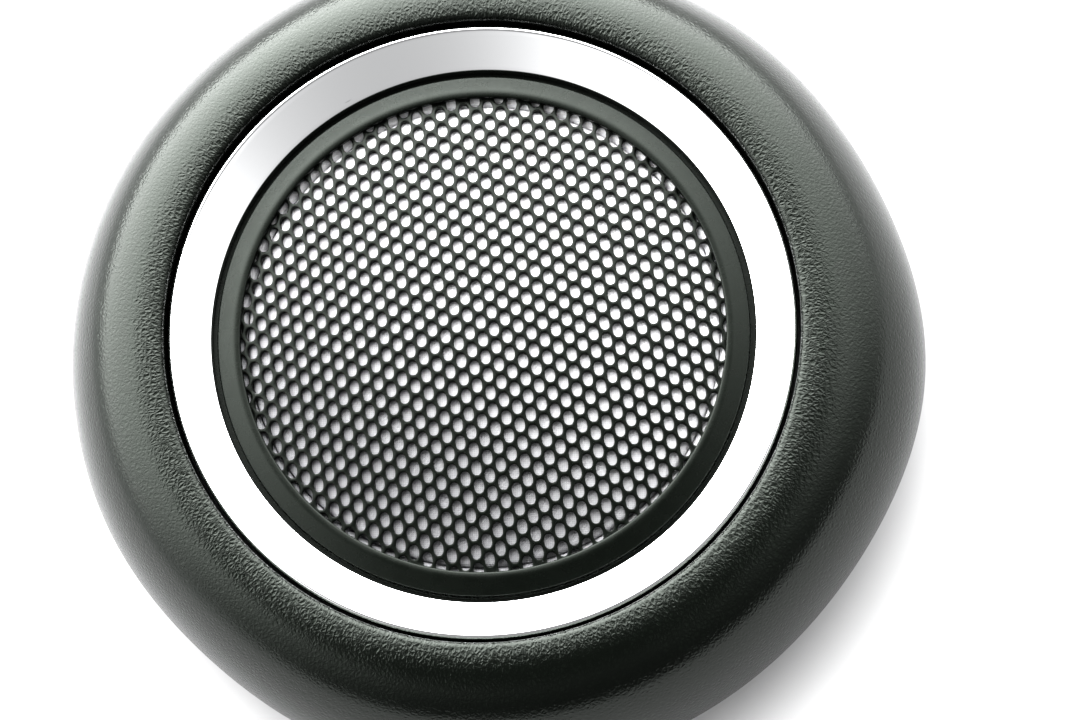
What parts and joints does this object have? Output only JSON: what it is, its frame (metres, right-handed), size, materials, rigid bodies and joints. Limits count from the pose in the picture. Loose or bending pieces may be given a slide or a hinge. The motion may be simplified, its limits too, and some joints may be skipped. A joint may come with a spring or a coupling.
{
  "type": "car tweeter",
  "caption": "Round dash-top car tweeter pod: leather-look skin, chrome ring and domed perforated grille over a soft-dome driver, fastened from behind.",
  "frame": {"origin": "on the speaker axis, in the plane of the three rear mounting feet", "axes": "+Z out of the grille along the speaker axis, +Y towards the connector socket and one mounting foot, +X completes the right-handed frame"},
  "size_m": [0.1216, 0.1216, 0.0283],
  "materials": {
    "skin": "soft-touch grained, matt",
    "foam": "open-cell foam, matt",
    "carrier": "moulded, fine spark texture",
    "chrome": "bright plated",
    "bezel": "satin moulded",
    "grille": "satin powder coat",
    "cloth": "fine open weave",
    "zinc": "zinc plated",
    "spring_steel": "phosphated spring steel",
    "silk": "coated silk",
    "former": "thin foil",
    "copper": "enamelled winding",
    "magnet": "nickel plated",
    "phenolic": "laminate",
    "brass": "bright",
    "capacitor": "shrink sleeve",
    "white_plastic": "moulded nylon",
    "wire_red": "insulation",
    "wire_black": "insulation"
  },
  "bodies": {
    "pod": {"pod_skin": "skin", "foam_layer": "foam", "pod_carrier": "carrier", "rim_gasket": "foam", "spring_clips": "spring_steel", "chrome_ring": "chrome", "bezel_ring": "bezel", "grille_mesh": "grille", "grille_sleeve": "carrier", "acoustic_cloth": "cloth", "cloth_ring": "carrier", "trim_screws": "zinc", "driver_bracket": "carrier", "bracket_screws": "zinc", "front_gasket": "foam", "driver_faceplate": "carrier", "driver_housing": "carrier", "driver_screws": "zinc", "surround": "silk", "yoke_cup": "zinc", "magnet": "magnet", "pole_plate": "zinc", "damping_felt": "foam", "terminal_board": "phenolic", "terminal_tabs": "brass", "crossover_capacitor": "capacitor", "capacitor_strap": "carrier", "capacitor_leads": "zinc", "connector_socket": "white_plastic", "socket_pins": "brass", "wire_positive": "wire_red", "wire_link": "wire_red", "wire_negative": "wire_black"},
    "diaphragm": {"dome": "silk", "voice_coil_former": "former", "voice_coil": "copper"}
  },
  "joints": [
    {"name": "dome_stroke", "type": "slide", "parent": "pod", "child": "diaphragm", "axis": [0, 0, 1], "range_m": [-0.0004, 0.0004], "stiffness_N_per_m": 60, "deforming": ["surround"]}
  ]
}
